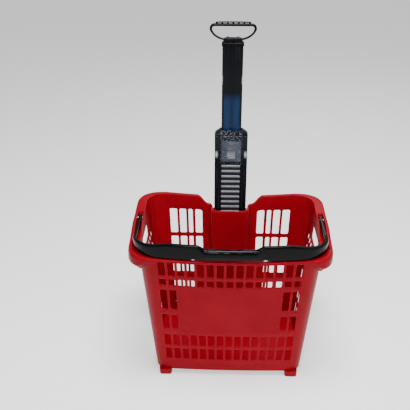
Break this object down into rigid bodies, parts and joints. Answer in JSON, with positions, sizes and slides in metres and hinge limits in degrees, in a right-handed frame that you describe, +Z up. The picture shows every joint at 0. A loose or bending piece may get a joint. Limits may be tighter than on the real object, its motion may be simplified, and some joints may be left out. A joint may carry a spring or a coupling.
{
  "type": "rolling basket trolley",
  "caption": "Open red plastic shopping basket on two rear wheels, with a folding carry handle on its rim and a telescopic pull handle at the back.",
  "frame": {"origin": "on the floor, under the middle of the object's bounding box", "axes": "+Z up, -Y towards the front of the basket, the side away from the pull handle, and X across its width"},
  "size_m": [0.522, 0.3595, 0.887],
  "materials": {
    "red_pp": "injection-moulded red polypropylene, satin gloss",
    "black_pp": "injection-moulded black polypropylene, fine satin",
    "gloss_black": "glossy black moulded ABS",
    "grey_acetal": "light grey moulded acetal",
    "zinc_steel": "zinc-plated steel",
    "grey_rubber": "dark grey moulded rubber"
  },
  "bodies": {
    "basket": {"basket_shell": "red_pp", "rear_channel_cover": "black_pp", "mast_sleeve": "black_pp", "sleeve_bezel": "black_pp", "sleeve_end_cap": "black_pp", "bail_pin_left": "red_pp", "bail_pin_right": "red_pp", "cover_screw_1": "zinc_steel", "cover_screw_2": "zinc_steel", "cover_screw_3": "zinc_steel", "cover_screw_4": "zinc_steel", "cover_screw_5": "zinc_steel", "cover_screw_6": "zinc_steel", "wheel_bracket_left": "black_pp", "axle_left": "zinc_steel", "axle_cap_left_inner": "black_pp", "axle_cap_left_outer": "black_pp", "bracket_screw_left_inner": "zinc_steel", "bracket_screw_left_outer": "zinc_steel", "wheel_bracket_right": "black_pp", "axle_right": "zinc_steel", "axle_cap_right_inner": "black_pp", "axle_cap_right_outer": "black_pp", "bracket_screw_right_inner": "zinc_steel", "bracket_screw_right_outer": "zinc_steel"},
    "carry_handle": {"bail_handle": "black_pp"},
    "outer_stage": {"outer_stage": "black_pp", "outer_stage_collar": "black_pp", "latch_plate": "gloss_black", "button_spring": "zinc_steel", "outer_stage_glide_left": "grey_acetal", "outer_stage_glide_right": "grey_acetal"},
    "latch_button": {"latch_button": "gloss_black"},
    "inner_stage": {"inner_stage": "gloss_black", "inner_stage_stop": "grey_acetal", "inner_stage_glide_left": "grey_acetal", "inner_stage_glide_right": "grey_acetal", "neck_band": "grey_acetal", "grip_loop": "black_pp", "grip_palm_bar": "black_pp", "grip_screw_left": "zinc_steel", "grip_screw_right": "zinc_steel"},
    "wheel_left": {"wheel_hub_left": "grey_acetal", "tyre_left": "grey_rubber"},
    "wheel_right": {"wheel_hub_right": "grey_acetal", "tyre_right": "grey_rubber"}
  },
  "joints": [
    {"name": "carry_handle_swing", "type": "hinge", "parent": "basket", "child": "carry_handle", "pos_m": [0, 0.034, 0.3882], "axis": [-1, 0, 0], "range_deg": [0, 95]},
    {"name": "outer_stage_slide", "type": "slide", "parent": "basket", "child": "outer_stage", "axis": [0, 0, 1], "range_m": [-0.21, 0]},
    {"name": "inner_stage_slide", "type": "slide", "parent": "outer_stage", "child": "inner_stage", "axis": [0, 0, 1], "range_m": [-0.222, 0]},
    {"name": "latch_button_press", "type": "slide", "parent": "outer_stage", "child": "latch_button", "axis": [0, 1, 0], "range_m": [0, 0.0025], "stiffness_N_per_m": 800, "springref_m": -0.002, "deforming": ["button_spring"]},
    {"name": "wheel_left_spin", "type": "hinge", "parent": "basket", "child": "wheel_left", "pos_m": [-0.15, 0.152, 0.027], "axis": [1, 0, 0], "continuous": true},
    {"name": "wheel_right_spin", "type": "hinge", "parent": "basket", "child": "wheel_right", "pos_m": [0.15, 0.152, 0.027], "axis": [1, 0, 0], "continuous": true}
  ]
}
